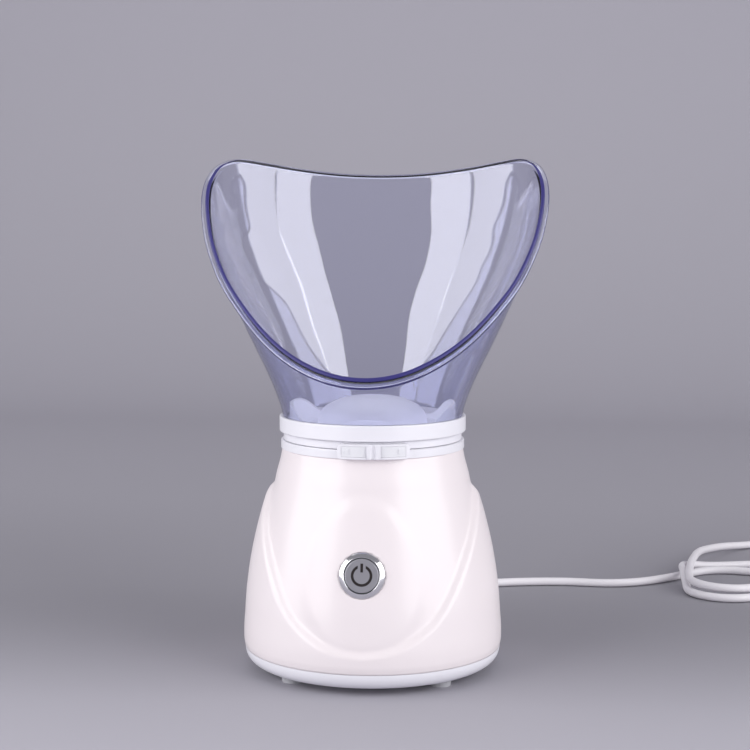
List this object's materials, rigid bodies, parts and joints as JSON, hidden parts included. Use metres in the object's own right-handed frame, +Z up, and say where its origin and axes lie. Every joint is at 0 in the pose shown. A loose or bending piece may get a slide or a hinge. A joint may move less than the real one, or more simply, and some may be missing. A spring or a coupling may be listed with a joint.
{
  "type": "facial steamer",
  "caption": "Table-top facial steamer: bell-shaped white housing, power button, steam lever, steam hood and a clear violet face mask, with its mains cord.",
  "frame": {"origin": "Middle of the footprint, on the surface that the steamer stands on.", "axes": "+Z is up, -Y is the front with the power button, and +X is to the right of someone facing the button."},
  "size_m": [0.4439, 0.4138, 0.267],
  "materials": {
    "housing_white": null,
    "ring_white": null,
    "mask_clear": null,
    "insert_white": null,
    "chrome": null,
    "button_silver": null,
    "symbol_dark": null,
    "pad_grey": null,
    "foot_rubber": null,
    "cord_white": null,
    "silicone": null,
    "aluminium": null,
    "steel": null,
    "circuit_green": null,
    "component_black": null,
    "wire_red": null,
    "terminal_white": null,
    "pin_brass": null
  },
  "bodies": {
    "base": {"housing_shell": "housing_white", "base_cover": "ring_white", "rubber_feet": "foot_rubber", "base_screws": "steel", "button_bezel": "chrome", "switch_body": "component_black", "control_board": "circuit_green", "board_screws": "steel", "board_components": "component_black", "water_chamber": "insert_white", "chamber_gasket": "silicone", "chamber_screws": "steel", "chamber_lid": "insert_white", "heater_plate": "aluminium", "heater_seal": "silicone", "heater_element": "steel", "heater_bracket": "steel", "heater_posts": "terminal_white", "heater_screws": "steel", "thermostat": "component_black", "thermal_fuse": "terminal_white", "top_deck": "ring_white", "steam_tray": "insert_white", "cord_gland": "cord_white", "power_cord": "cord_white", "cord_coil": "cord_white", "plug_body": "cord_white", "plug_pins": "pin_brass", "inner_lead": "cord_white", "cord_clamp": "terminal_white", "cord_clamp_screws": "steel", "terminal_block": "terminal_white", "heater_wires": "wire_red", "board_wires": "wire_red"},
    "power_button": {"power_button": "button_silver", "power_symbol": "symbol_dark", "switch_plunger": "terminal_white"},
    "steam_lever": {"steam_lever": "ring_white", "lever_pads": "pad_grey", "steam_shutter": "insert_white"},
    "steam_hood": {"steam_hood": "insert_white"},
    "face_mask": {"face_mask": "mask_clear", "mask_ring": "ring_white"}
  },
  "joints": [
    {"name": "button_press", "type": "slide", "parent": "base", "child": "power_button", "axis": [0, 0.9816, -0.1908], "range_m": [0, 0.0015], "stiffness_N_per_m": 800, "springref_m": -0.0008},
    {"name": "steam_lever_turn", "type": "hinge", "parent": "base", "child": "steam_lever", "pos_m": [0, 0, 0.1245], "axis": [0, 0, 1], "range_deg": [-19.5, 8.5]},
    {"name": "hood_lift", "type": "slide", "parent": "base", "child": "steam_hood", "axis": [0, 0, 1], "range_m": [0, 0.045]},
    {"name": "mask_lift", "type": "slide", "parent": "base", "child": "face_mask", "axis": [0, 0, 1], "range_m": [0, 0.06]}
  ]
}
